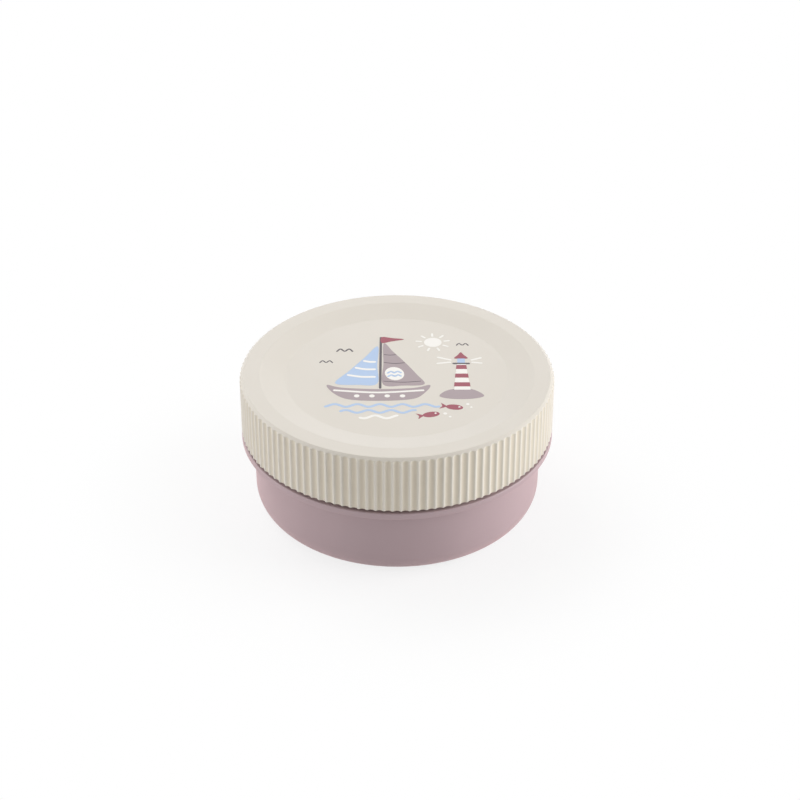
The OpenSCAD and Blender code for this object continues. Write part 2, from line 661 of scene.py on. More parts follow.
@dataclass(frozen=True)
class Lid(Assembly):
    """The cream lid: fluted skirt, dished top, seal groove and thread lugs.

    One slice of it is modelled over a single flute, with fine columns on the
    skirt and coarse ones elsewhere, and copied round the axis.
    """

    body = Body.LID
    slot = Slot.LID
    solid = Solid.LID
    fit: Fit = Fit()
    chamfer_width: float = 1.4 * MM
    chamfer_drop: float = 1.1 * MM
    chamfer_round: float = 0.3 * MM
    lip_round: float = 0.2 * MM
    rim_width: float = 7.3 * MM
    slope_width: float = 9.3 * MM
    dish_depth: float = 1.7 * MM
    dish_soft: float = 2.4 * MM
    # Rise of the underside of the dish, one bend before its slope starts, there and one bend after
    bend: float = 1.0 * MM
    bend_rises: Triple = (0.0, 0.03 * MM, 0.2 * MM)
    locator_thickness: float = 1.2 * MM
    locator_drop: float = 3.9 * MM
    locator_round: float = 0.4 * MM
    bead: float = 0.35 * MM
    bead_gap: float = 0.2 * MM
    soft: float = 0.25 * MM
    mouth_chamfer: float = 0.6 * MM
    # Rounding of the chamfered mouth, outwards from the skirt's inner wall and up from its edge
    mouth_round: tuple[Pair, ...] = ((0.15 * MM, 0.28 * MM), (0.4 * MM, 0.06 * MM))
    flutes: int = 120
    flute_depth: float = 0.54 * MM
    ridge: float = 0.4 * MM
    # Width over which the edges of a flute are softened
    soft_edge: float = 0.12 * MM
    # Places of the fine columns from the middle of a flute to its side
    half_columns: tuple[float, ...] = (0, 0.24, 0.47, 0.66, 0.8, 0.87, 0.93, 1)
    coarse_columns: int = 2
    # Last plain ring below the chamfer, and how far the fine rings go beyond the flutes' ends on it
    shoulder_ring: float = 1.5 * MM
    arch_margin: float = 0.15 * MM
    # Width of the flat ring where fine columns turn to coarse ones, and the slack in picking it
    bridge_width: float = 0.6 * MM
    bridge_slack: float = 0.1 * MM
    # Rings of vertices on the flat rim, from its outside, and on the flat of the dish
    rim_ring: float = 5.3 * MM
    dish_rings: Pair = (30 * MM, 15 * MM)
    lug_span: float = 48

    @property
    def slice_angle(self) -> float:
        """Angle of the slice of lid over one flute."""
        return FULL_TURN / self.flutes

    @property
    def dish_top(self) -> float:
        """Height of the middle of the lid."""
        return self.fit.height - self.dish_depth

    @property
    def chamfer_lean(self) -> float:
        """Angle of the chamfer's normal above the horizontal."""
        return math.atan2(self.chamfer_width, self.chamfer_drop)

    @property
    def flat_edge(self) -> float:
        """Radius at which the flat rim starts to round over to the chamfer."""
        turn_over = math.pi / 2 - self.chamfer_lean
        return self.fit.outer - self.chamfer_width - self.chamfer_round * math.tan(turn_over / 2)

    @property
    def coarse_edge(self) -> float:
        """Radius on the flat rim at which the coarse columns end."""
        return self.flat_edge - self.bridge_width

    def band_rows(self) -> Section:
        """Draw the outer section of the skirt before it is fluted, from below.

        Returns:
            The section, from the lip to the start of the flat rim.
        """
        outer = self.fit.outer
        lip = self.lip_round
        soft = self.chamfer_round
        lean = self.chamfer_lean
        lean_degrees = math.degrees(lean)
        shoulder = self.fit.height - self.chamfer_drop
        arch = self.flute_depth + self.arch_margin
        outline = Section()
        outline.arc((outer - lip, self.fit.lid_edge + lip), lip, -90, 0, 3)
        outline.rows((outer, shoulder - self.shoulder_ring), 3)
        outline.arc((outer - soft, shoulder - soft * math.tan(lean / 2)), soft, 0, lean_degrees, 3)
        outline.rows((outer - arch, shoulder + arch / math.tan(lean)), 9)
        return outline.arc((self.flat_edge, self.fit.height - soft), soft, lean_degrees, 90, 4)

    def flute_wall(self, across: float) -> float:
        """Radius of a flute's surface.

        Args:
            across: Distance from the middle of the flute, along the skirt.

        Returns:
            The radius, which rises past the skirt's own beyond the flute.
        """
        half = (self.slice_angle * self.fit.outer - self.ridge) / 2
        bend = (half ** 2 + self.flute_depth ** 2) / (2 * self.flute_depth)
        drop = bend - self.flute_depth
        if abs(across) < half:
            return self.fit.outer + drop - math.sqrt(bend ** 2 - across ** 2)
        return self.fit.outer + (abs(across) - half) * half / drop

    def blend_in(self, a: float, b: float) -> float:
        """Smaller of two radii, with a soft change from one to the other."""
        near = max(self.soft_edge - abs(a - b), 0) / self.soft_edge
        return min(a, b) - near * near * self.soft_edge / 4

    def across_steps(self) -> list[float]:
        """Place the columns across one flute, closer at its edges.

        Returns:
            Their distances from the middle of the flute, along the skirt.
        """
        half_pitch = self.slice_angle * self.fit.outer / 2
        shares = [-share for share in self.half_columns[:0:-1]] + list(self.half_columns)
        return [share * half_pitch for share in shares]

    def flute_slice(self) -> bpy.types.Object:
        """Model the outer face of the skirt over one flute.

        Returns:
            The slice of skirt, in object mode.
        """
        steps = self.across_steps()
        columns = len(steps) - 1
        outer = self.fit.outer
        lip_top = self.fit.lid_edge + self.lip_round
        band = draw_chain("lid_shell", self.band_rows().places(FRONT - self.slice_angle / 2))
        spin(columns, self.slice_angle)
        weld(FINE_WELD)
        bpy.ops.object.mode_set(mode="OBJECT")
        for vertex in band.data.vertices:
            x, y, z = vertex.co
            turned = math.atan2(y, x) - FRONT
            across = steps[round((turned / self.slice_angle + 0.5) * columns)]
            radius = math.hypot(x, y)
            if z < lip_top:
                radius = self.blend_in(outer, self.flute_wall(across)) - (outer - radius)
            else:
                radius = self.blend_in(radius, self.flute_wall(across))
            angle = FRONT + across / outer
            vertex.co = (radius * math.cos(angle), radius * math.sin(angle), z)
        return band

    def top_section(self) -> Section:
        """Draw the section of the dished top, from its flat rim to the axis.

        Returns:
            The open section.
        """
        top = self.fit.height
        dish = self.dish_top
        soft = self.dish_soft
        dish_outer = self.fit.outer - self.rim_width
        dish_inner = dish_outer - self.slope_width
        slope = math.atan2(self.dish_depth, self.slope_width)
        lean = math.degrees(slope)
        reach = soft * math.tan(slope / 2)
        outline = Section([(self.coarse_edge, top), (self.fit.outer - self.rim_ring, top)])
        outline.arc((dish_outer + reach, top - soft), soft, 90, 90 + lean, 5)
        outline.rows((dish_inner + reach, dish + reach * math.sin(slope)), 3)
        # The arc starts where the rows end
        outline.pairs.pop()
        outline.arc((dish_inner - reach, dish + soft), soft, -90 + lean, -90, 5)
        outline.line(*((radius, dish) for radius in self.dish_rings))
        return outline.line((0, dish))

    def inside_section(self) -> Section:
        """Draw the section of the lid's inside, from the axis to the mouth.

        Returns:
            The open section.
        """
        fit = self.fit
        soft = self.soft
        dish_outer = fit.outer - self.rim_width
        dish_inner = dish_outer - self.slope_width
        slope = math.atan2(self.dish_depth, self.slope_width)
        under = self.dish_top - fit.lid_thickness
        outline = Section([(0, under)])
        outline.line(*((radius, under) for radius in self.dish_rings[::-1]))
        for side, rise in zip((-1, 0, 1), self.bend_rises):
            outline.line((dish_inner + side * self.bend, under + rise))

        inner = fit.locator_outer - self.locator_thickness
        outer = fit.locator_outer
        root = fit.rim_under - (dish_outer - inner) * math.tan(slope)
        r = self.locator_round
        corner = fit.rim_under - self.locator_drop + r
        outline.rows((inner - soft, root - soft / 2), 3)
        outline.line((inner, root - soft))
        outline.rows((inner, corner), 2)
        outline.arc((inner + r, corner), r, 195, 270, 5)
        outline.arc((outer - r, corner), r, 270, 360, 6)
        outline.arc((outer, fit.seal_bottom - self.bead_gap - self.bead), self.bead, -90, 90, 8)

        skirt = fit.skirt_inner
        edge = fit.lid_edge
        outline.line((outer, fit.rim_under - soft))
        outline.arc((outer + soft, fit.rim_under - soft), soft, 150, 90, 2)
        outline.arc((skirt - soft, fit.rim_under - soft), soft, 90, 0, 3)
        outline.rows((skirt, edge + self.mouth_chamfer), 4)
        outline.line(*((skirt + out, edge + up) for out, up in self.mouth_round))
        return outline.line((skirt + self.mouth_chamfer, edge))

    def build(self) -> list[bpy.types.Object]:
        """Model the lid as one slice that is copied round, and its lugs.

        Returns:
            The lid's shell and its thread lugs.
        """
        parts = [self.flute_slice()]
        for name, section in (("lid_top", self.top_section()), ("lid_inside", self.inside_section())):
            parts.append(draw_chain(name, section.places(FRONT - self.slice_angle / 2)))
            spin(self.coarse_columns, self.slice_angle)
            bpy.ops.object.mode_set(mode="OBJECT")
        shell = join_pieces(parts)
        bpy.ops.object.mode_set(mode="EDIT")
        weld(FINE_WELD)
        fit = self.fit
        self.bridge(shell, fit.height, self.coarse_edge)
        self.bridge(shell, fit.lid_edge, fit.skirt_inner + self.mouth_chamfer)
        spin(self.flutes - 1, FULL_TURN - self.slice_angle, copies=True)
        close_mesh(shell)
        thread = Thread("lid_lug", fit.skirt_inner, False, fit.lug_start, self.lug_span, fit)
        return [shell, *thread.build()]

    def bridge(self, shell: bpy.types.Object, height: float, coarse: float) -> None:
        """Join the fine columns of the skirt to the coarse ones of a flat.

        Args:
            shell: The slice of the lid, in edit mode.
            height: Height of the flat.
            coarse: Radius at which the coarse columns end.
        """
        bpy.ops.object.mode_set(mode="OBJECT")
        chosen = []
        for vertex in shell.data.vertices:
            x, y, z = vertex.co
            if abs(z - height) < WELD and math.hypot(x, y) > coarse - self.bridge_slack:
                chosen.append(vertex.index)
        bpy.ops.object.mode_set(mode="EDIT")
        select_vertices(shell, chosen)
        bpy.ops.mesh.bridge_edge_loops()


# ------------------------------------------------------------------ picture


@dataclass(frozen=True)
class Shape:
    """A flat printed shape: its ink, its layer and its outline in mm."""

    ink: Ink
    layer: int
    outline: list[Pair]


def curve_value(p: float, q: float, r: float, s: float, t: float) -> float:
    """Find a value between two that a smooth curve runs through.

    Args:
        p: The value before the two.
        q: The first of the two.
        r: The second of the two.
        s: The value after the two.
        t: Share of the way from the first to the second.

    Returns:
        The curve's value there.
    """
    slope = (r - p) * t
    bend = (2 * p - 5 * q + 4 * r - s) * t * t
    twist = (3 * q - p - 3 * r + s) * t ** 3
    return 0.5 * (2 * q + slope + bend + twist)


def along(points: Sequence[Pair], closed: bool, per_side: int) -> list[Pair]:
    """Run a smooth curve through points.

    Args:
        points: Points on the curve.
        closed: Whether the curve comes back to its first point.
        per_side: Number of steps from one point to the next.

    Returns:
        Points along the curve, without the first one again if it's closed.
    """
    count = len(points)
    curve = []
    for i in range(count if closed else count - 1):
        if closed:
            near = [points[(i + k) % count] for k in (-1, 0, 1, 2)]
        else:
            near = [points[min(max(i + k, 0), count - 1)] for k in (-1, 0, 1, 2)]
        for j in range(per_side):
            curve.append(tuple(curve_value(*four, j / per_side) for four in zip(*near)))
    if not closed:
        curve.append(points[-1])
    return curve


def stroke(path: Sequence[Pair], width: float) -> list[Pair]:
    """Outline a pen stroke with round ends.

    Args:
        path: Middle line of the stroke.
        width: Width of the stroke.

    Returns:
        The closed outline.
    """
    half = width / 2
    headings = []
    left = []
    right = []
    for i, (x, y) in enumerate(path):
        before = path[max(i - 1, 0)]
        after = path[min(i + 1, len(path) - 1)]
        heading = math.atan2(after[1] - before[1], after[0] - before[0])
        headings.append(heading)
        left.append((x - half * math.sin(heading), y + half * math.cos(heading)))
        right.append((x + half * math.sin(heading), y - half * math.cos(heading)))
    end_steps = range(30, 180, 30)
    far = [point_at(path[-1], half, headings[-1] + math.radians(90 - step)) for step in end_steps]
    near = [point_at(path[0], half, headings[0] - math.radians(90 + step)) for step in end_steps]
    return left + far + right[::-1] + near


def leaning(middle: Pair, lean: float, ahead: float, up: float) -> Pair:
    """Find a point beside a middle that leans.

    Args:
        middle: The middle.
        lean: Its lean, in degrees.
        ahead: Distance of the point ahead of the middle.
        up: Distance of the point above the middle.

    Returns:
        The point.
    """
    c = math.cos(math.radians(lean))
    s = math.sin(math.radians(lean))
    return middle[0] + ahead * c - up * s, middle[1] + ahead * s + up * c


def spot(middle: Pair, wide: float, high: float = 0, lean: float = 0, count: int = 24) -> list[Pair]:
    """Outline a round or oval spot.

    Args:
        middle: Middle of the spot.
        wide: Half of its width.
        high: Half of its height, the same as wide if left out.
        lean: Angle by which the spot is turned, in degrees.
        count: Number of points.

    Returns:
        The closed outline.
    """
    outline = []
    for i in range(count):
        angle = FULL_TURN * i / count
        outline.append(leaning(middle, lean, wide * math.cos(angle), (high or wide) * math.sin(angle)))
    return outline


def blob(ink: Ink, layer: int, points: Sequence[Pair], per_side: int = 6) -> Shape:
    """Draw a filled shape whose smooth outline runs through points."""
    return Shape(ink, layer, along(points, True, per_side))


def pen(ink: Ink, layer: int, points: Sequence[Pair], width: float, per_side: int = 6) -> Shape:
    """Draw a pen stroke that runs smoothly through points."""
    return Shape(ink, layer, stroke(along(points, False, per_side), width))


@dataclass(frozen=True)
class Picture(Assembly):
    """The seaside picture printed in the dish of the lid.

    Its shapes are drawn in mm from the middle of the lid, X to the right and
    Y upwards as the picture is seen. Its films of ink are in metres.
    """

    body = Body.LID
    slot = Slot.LID
    surface: float
    sunk: float = 0.03 * MM
    film: float = 0.03 * MM
    per_layer: float = 0.02 * MM
    tower_axis: float = 23.7
    tower_foot: float = -9.8
    tower_half: float = 3.0
    tower_taper: float = 0.075
    band_height: float = 2.8
    band_overlap: float = 1.05
    wave_length: float = 8.1
    wave_rise: float = 0.9
    wave_pen: float = 1.2
    wave_steps: int = 48

    def boat(self) -> list[Shape]:
        """Draw the large sailing boat on the left.

        Returns:
            Its hull, sails, mast, flag and trimmings.
        """
        hull = [(-25.5, -6.6), (-20, -8.4), (-7, -9.4), (6, -8.6), (12, -6.6), (10.2, -11.6),
                (5.5, -16), (-7, -17.2), (-17.5, -16.2), (-23, -12)]
        mainsail = [(-5, -6.2), (-5, 8), (-5, 22.5), (-1.4, 16.6), (3.2, 8.6), (7.2, 0.8), (10, -6),
                    (2.5, -6.9)]
        jib = [(-7.2, 20.5), (-7.3, 7), (-7.2, -5.6), (-14, -6.5), (-22.5, -5.4), (-17.6, 3), (-12, 12.4)]
        gunwale = [(-22.6, -10.2), (-7, -11.7), (9.4, -10.2)]
        mast = [(-6.1, -8.6), (-6.1, 9), (-6.1, 26.8)]
        flag = [(-5.8, 27.2), (-5.8, 22.9), (-2, 24.2), (2.6, 25.6), (-2, 26.5)]
        badge_waves = ([(-3.4, 1.6), (-2.2, 2.6), (-1, 1.7), (0.2, 2.7), (1.4, 1.8)],
                       [(-3.2, -0.8), (-2, 0.2), (-0.8, -0.7), (0.4, 0.3), (1.4, -0.5)])
        stripes = ([(-12.0, 10.0), (-10, 9.4), (-8.3, 9.4)],
                   [(-15.0, 5.2), (-11.6, 4.2), (-8.3, 4.2)],
                   [(-17.8, 0.2), (-13, -1.0), (-8.3, -1.0)])
        portholes = [(x, -14) for x in (-14.5, -9, -3.5, 2)]
        seams = ([(-4.8, 14.6), (-2.6, 14.2), (-0.6, 14.5)],
                 [(-4.8, 9.0), (-1, 8.3), (2.7, 8.8)],
                 [(-4.8, -4.0), (2, -4.7), (8.6, -4.0)])
        return [
            blob(Ink.TAUPE, 0, hull),
            blob(Ink.TAUPE, 0, mainsail),
            blob(Ink.SKY, 0, jib),
            pen(Ink.IVORY, 1, gunwale, 1.1),
            Shape(Ink.IVORY, 1, spot((-0.9, 1.2), 3.5, 4.6, 12)),
            Shape(Ink.SLATE, 1, stroke(mast, 0.9)),
            blob(Ink.BERRY, 2, flag, 3),
            *(pen(Ink.SKY, 2, wave, 0.8) for wave in badge_waves),
            *(pen(Ink.IVORY, 1, stripe, 1.2) for stripe in stripes),
            *(Shape(Ink.IVORY, 1, spot(porthole, 1.0)) for porthole in portholes),
            *(pen(Ink.SLATE, 1, seam, 0.35) for seam in seams),
        ]

    def lighthouse(self) -> list[Shape]:
        """Draw the lighthouse on its rock, on the right.

        Returns:
            Its rock, tower, balcony, lantern, roof, bands and beams.
        """
        rock = [(15.4, -14.2), (17.4, -10.8), (21, -9.2), (25.4, -9), (29, -10.6), (31.4, -14),
                (27, -15.8), (20, -15.9)]
        balcony = [(20.9, 8.3), (23.7, 8.3), (26.5, 8.3)]
        lantern = [(22.3, 8.6), (25.1, 8.6), (25.1, 12.2), (22.3, 12.2)]
        roof = [(21.2, 12), (23.7, 11.8), (26.2, 12), (24.8, 14.3), (23.7, 16.2), (22.6, 14.3)]
        bands = [self.tower(low, low + self.band_height, self.band_overlap) for low in (-7.6, -1.6, 4.4)]
        beams = ([(19.8, 10.8), (17.4, 11.8), (15.2, 12.7)], [(19.6, 9.2), (17.2, 8.8), (15, 8.4)],
                 [(27.6, 10.8), (29.4, 11.6), (31, 12.3)], [(27.8, 9.2), (29.6, 8.9), (31.2, 8.6)])
        return [
            blob(Ink.TAUPE, 0, rock),
            Shape(Ink.IVORY, 1, self.tower(self.tower_foot, 8, 1)),
            Shape(Ink.SLATE, 2, stroke(balcony, 0.9)),
            Shape(Ink.SKY, 1, lantern),
            blob(Ink.BERRY, 2, roof, 4),
            *(Shape(Ink.BERRY, 2, band) for band in bands),
            *(Shape(Ink.IVORY, 0, stroke(beam, 0.9)) for beam in beams),
        ]

    def tower(self, low: float, high: float, spread: float) -> list[Pair]:
        """Outline a stretch of the lighthouse's tapered tower.

        Args:
            low: Height of the lower end of the stretch.
            high: Height of its upper end.
            spread: Width of the stretch, as a share of the tower's own.

        Returns:
            The four corners.
        """
        corners = []
        for side, height in ((-spread, low), (spread, low), (spread, high), (-spread, high)):
            half = self.tower_half - self.tower_taper * (height - self.tower_foot)
            corners.append((self.tower_axis + side * half, height))
        return corners

    def sea(self) -> list[Shape]:
        """Draw the waves under the boat, with fish and their bubbles.

        Returns:
            The waves, then each fish, then the bubbles.
        """
        waves = ((Ink.SKY, -25.5, 15, -20.3, 0.0), (Ink.SKY, -20, 6.5, -24.2, 0.5),
                 (Ink.IVORY, -13, 0, -27.8, 0.2))
        bubbles = ((17.2, -25.6, 0.7), (18.9, -27.6, 0.5), (25.4, -19.4, 0.6), (26.6, -21.4, 0.45))
        shapes = []
        for ink, start, end, level, lag in waves:
            path = []
            for i in range(self.wave_steps + 1):
                x = start + (end - start) * i / self.wave_steps
                phase = FULL_TURN * (x / self.wave_length + lag)
                path.append((x, level + self.wave_rise * math.sin(phase)))
            shapes.append(Shape(ink, 0, stroke(path, self.wave_pen)))
        shapes += self.fish((12.2, -26.2), 14)
        shapes += self.fish((20.6, -21.4), -10)
        shapes += [Shape(Ink.IVORY, 0, spot((x, y), size, count=16)) for x, y, size in bubbles]
        return shapes

    def fish(self, middle: Pair, lean: float) -> list[Shape]:
        """Draw a fish that swims to the right.

        Args:
            middle: Middle of its body.
            lean: Angle by which it swims upwards, in degrees.

        Returns:
            Its body, tail and eye.
        """
        tail = ((-2.5, 0), (-5.2, 1.9), (-4.4, 0), (-5.2, -1.9))
        eye = leaning(middle, lean, 1.7, 0.4)
        return [
            Shape(Ink.BERRY, 0, spot(middle, 3.1, 1.7, lean)),
            Shape(Ink.BERRY, 1, [leaning(middle, lean, ahead, up) for ahead, up in tail]),
            Shape(Ink.IVORY, 1, spot(eye, 0.42, count=12)),
        ]

    def sky(self) -> list[Shape]:
        """Draw the sun with its rays, and gulls.

        Returns:
            The sun, its rays, then the gulls.
        """
        sun = (13.4, 23.4)
        rays = 9
        gulls = ((-19.5, 17.5, 1.0), (-26.2, 9.4, 0.8), (24.4, 21.8, 0.75))
        wings = ((-2.9, -0.6), (-1.6, 1.1), (0, -0.5), (1.6, 1.1), (2.9, -0.6))
        shapes = [Shape(Ink.IVORY, 0, spot(sun, 3.3))]
        for i in range(rays):
            angle = FULL_TURN * (i + 0.3) / rays
            ray = [point_at(sun, radius, angle) for radius in (4.5, 6.2)]
            shapes.append(Shape(Ink.IVORY, 0, stroke(ray, 0.8)))
        for x, y, size in gulls:
            gull = [(x + size * dx, y + size * dy) for dx, dy in wings]
            shapes.append(pen(Ink.SLATE, 0, gull, 0.65 * size, 5))
        return shapes

    def print_shape(self, shape: Shape) -> bpy.types.Object:
        """Model one shape as a thin closed film of ink.

        Args:
            shape: The shape.

        Returns:
            The film, in object mode.
        """
        bottom = self.surface - self.sunk
        rise = self.sunk + self.film + self.per_layer * shape.layer
        places = [(x * MM, y * MM, bottom) for x, y in shape.outline]
        film = draw_chain(f"print_{shape.ink.value}", places, closed=True)
        bpy.ops.mesh.edge_face_add()
        bpy.ops.mesh.extrude_region_move(TRANSFORM_OT_translate={"value": (0, 0, rise)})
        return close_mesh(film)

    def build(self) -> dict[Ink, bpy.types.Object]:
        """Print every shape and join the films of each ink.

        Returns:
            One piece for each ink.
        """
        films: dict[Ink, list[bpy.types.Object]] = {ink: [] for ink in Ink}
        for shape in (*self.boat(), *self.lighthouse(), *self.sea(), *self.sky()):
            films[shape.ink].append(self.print_shape(shape))
        return {ink: join_pieces(group) for ink, group in films.items()}


# ---------------------------------------------------------------- materials


@dataclass
class Desk:
    """Short hand for adding and joining the nodes of one tree."""

    tree: bpy.types.NodeTree

    def feed(self, target: Socket, value: object) -> None:
        """Link a socket to an input, or set the input to a plain value.

        Args:
            target: The input.
            value: The socket or the value.
        """
        if isinstance(value, bpy.types.NodeSocket):
            self.tree.links.new(value, target)
        else:
            target.default_value = value

    def add(self, kind: str, **values: object) -> bpy.types.Node:
        """Add a node.

        Args:
            kind: The node's type without its ShaderNode prefix.
            **values: Properties to set, and inputs to feed by name with
                spaces as underscores.

        Returns:
            The new node.
        """
        prefix = "" if kind.startswith("Node") else "ShaderNode"
        node = self.tree.nodes.new(prefix + kind)
        for name, value in values.items():
            if hasattr(node, name):
                setattr(node, name, value)
            else:
                self.feed(node.inputs[name.replace("_", " ")], value)
        return node

    def calculate(self, operation: str, *terms: Socket | float) -> Socket:
        """Add a Math node.

        Args:
            operation: What the node does.
            *terms: Sockets or numbers that it works on.

        Returns:
            The node's result.
        """
        node = self.add("Math", operation=operation)
        for target, term in zip(node.inputs, terms):
            self.feed(target, term)
        return node.outputs[0]

    def mix_shaders(self, share: Socket, first: bpy.types.Node, second: bpy.types.Node) -> Socket:
        """Mix the shaders of two nodes.

        Args:
            share: Share of the second shader.
            first: Node of the first shader.
            second: Node of the second shader.

        Returns:
            The mixed shader.
        """
        node = self.add("MixShader")
        for target, source in zip(node.inputs, (share, first.outputs[0], second.outputs[0])):
            self.feed(target, source)
        return node.outputs[0]


def empty_tree(owner: bpy.types.Material | bpy.types.World) -> Desk:
    """Clear the nodes of a material or of a world.

    Args:
        owner: The material or the world.

    Returns:
        A desk on its tree.
    """
    owner.use_nodes = True
    owner.node_tree.nodes.clear()
    return Desk(owner.node_tree)


def group_tree(
    name: str, inputs: dict[str, float], outputs: Sequence[str]
) -> tuple[Desk, bpy.types.Node, bpy.types.Node]:
    """Start a shader node group that reads a Vector and some values.

    Args:
        name: Name of the group.
        inputs: Names of its value inputs, with their defaults.
        outputs: Names of its value outputs.

    Returns:
        A desk on the group's tree, its input node and its output node.
    """
    tree = bpy.data.node_groups.new(name, "ShaderNodeTree")
    tree.interface.new_socket("Vector", in_out="INPUT", socket_type="NodeSocketVector")
    for label, value in inputs.items():
        socket = tree.interface.new_socket(label, in_out="INPUT", socket_type="NodeSocketFloat")
        socket.default_value = value
    for label in outputs:
        tree.interface.new_socket(label, in_out="OUTPUT", socket_type="NodeSocketFloat")
    desk = Desk(tree)
    return desk, desk.add("NodeGroupInput"), desk.add("NodeGroupOutput")


def mould_grain() -> bpy.types.NodeTree:
    """Make the group for the spark-eroded grain of a mould and its wide swells.

    Returns:
        The group, whose Height is for a bump and whose Drift, about 0.5,
        changes slowly over the surface.
    """
    sizes = {"Grain Size": 0.3 * MM, "Swell Size": 14 * MM}
    desk, start, end = group_tree("mould_grain", sizes, ("Height", "Drift"))
    noises = (("Grain Size", "Height", 3.0, 0.6), ("Swell Size", "Drift", 2.0, 0.45))
    for size, result, detail, roughness in noises:
        scale = desk.calculate("DIVIDE", 1, start.outputs[size])
        noise = desk.add("TexNoise", Vector=start.outputs["Vector"], Scale=scale, Detail=detail,
                         Roughness=roughness)
        desk.feed(end.inputs[result], noise.outputs["Fac"])
    return desk.tree


def rub_marks() -> bpy.types.NodeTree:
    """Make the group for hair-fine rub marks, as on a plastic that has been handled.

    Returns:
        The group, whose Mark is 0 beside a mark and up to Share on it.
    """
    lie = (0.3, 0.2, 0.6)
    thinness = (1.0, 0.05, 0.35)
    faintest = 0.66
    strongest = 0.76
    desk, start, end = group_tree("rub_marks", {"Reach": 9 * MM, "Share": 0.5}, ("Mark",))
    drawn_out = desk.add("Mapping", vector_type="TEXTURE", Vector=start.outputs["Vector"],
                         Rotation=lie, Scale=thinness)
    scale = desk.calculate("DIVIDE", 1, start.outputs["Reach"])
    hairs = desk.add("TexNoise", Vector=drawn_out.outputs["Vector"], Scale=scale, Detail=1.0,
                     Roughness=0.5, Distortion=0.4)
    crests = desk.add("MapRange", interpolation_type="SMOOTHSTEP", Value=hairs.outputs["Fac"],
                      From_Min=faintest, From_Max=strongest)
    mark = desk.calculate("MULTIPLY", crests.outputs["Result"], start.outputs["Share"])
    desk.feed(end.inputs["Mark"], mark)
    return desk.tree


def flute_shade_mask() -> bpy.types.NodeTree:
    """Make the group that tells how deep in a flute of the lid's skirt a place is, as the mask of the
    painted shade on the flute floors.

    Returns:
        The group, whose Deep is 0 on the ridges, on the flat top and inside
        the lid, and 1 on the floor of a flute.
    """
    sizes = {"Outer": 57.5 * MM, "Shoulder": 52.5 * MM, "Depth": 0.5 * MM, "Wall": 1.6 * MM,
             "Chamfer": 1.0 * MM, "Slope": 1.27}
    shallow = 0.03 * MM
    desk, start, end = group_tree("flute_shade_mask", sizes, ("Deep",))
    size = start.outputs
    flat = desk.add("VectorMath", operation="MULTIPLY", Vector=size["Vector"])
    flat.inputs[1].default_value = (1, 1, 0)
    radius = desk.add("VectorMath", operation="LENGTH", Vector=flat.outputs["Vector"]).outputs["Value"]
    height = desk.add("SeparateXYZ", Vector=size["Vector"]).outputs["Z"]
    above = desk.calculate("MAXIMUM", desk.calculate("SUBTRACT", height, size["Shoulder"]), 0.0)
    inset = desk.calculate("MULTIPLY", above, size["Slope"])
    skin = desk.calculate("SUBTRACT", size["Outer"], inset)
    below = desk.calculate("SUBTRACT", skin, radius)
    deep = desk.add("MapRange", interpolation_type="SMOOTHSTEP", Value=below, From_Min=shallow,
                    From_Max=size["Depth"])
    outside = desk.calculate("LESS_THAN", below, size["Wall"])
    under = desk.calculate("LESS_THAN", above, size["Chamfer"])
    skirt = desk.calculate("MULTIPLY", outside, under)
    desk.feed(end.inputs["Deep"], desk.calculate("MULTIPLY", deep.outputs["Result"], skirt))
    return desk.tree


def linear(colour: Triple) -> tuple[float, float, float, float]:
    """Turn an 8-bit screen colour into Blender's linear colour.

    Args:
        colour: Red, green and blue from 0 to 255.

    Returns:
        Linear red, green, blue and an alpha of 1.
    """
    parts = []
    for value in colour:
        share = value / 255
        parts.append(share / 12.92 if share <= 0.04045 else ((share + 0.055) / 1.055) ** 2.4)
    return (*parts, 1.0)


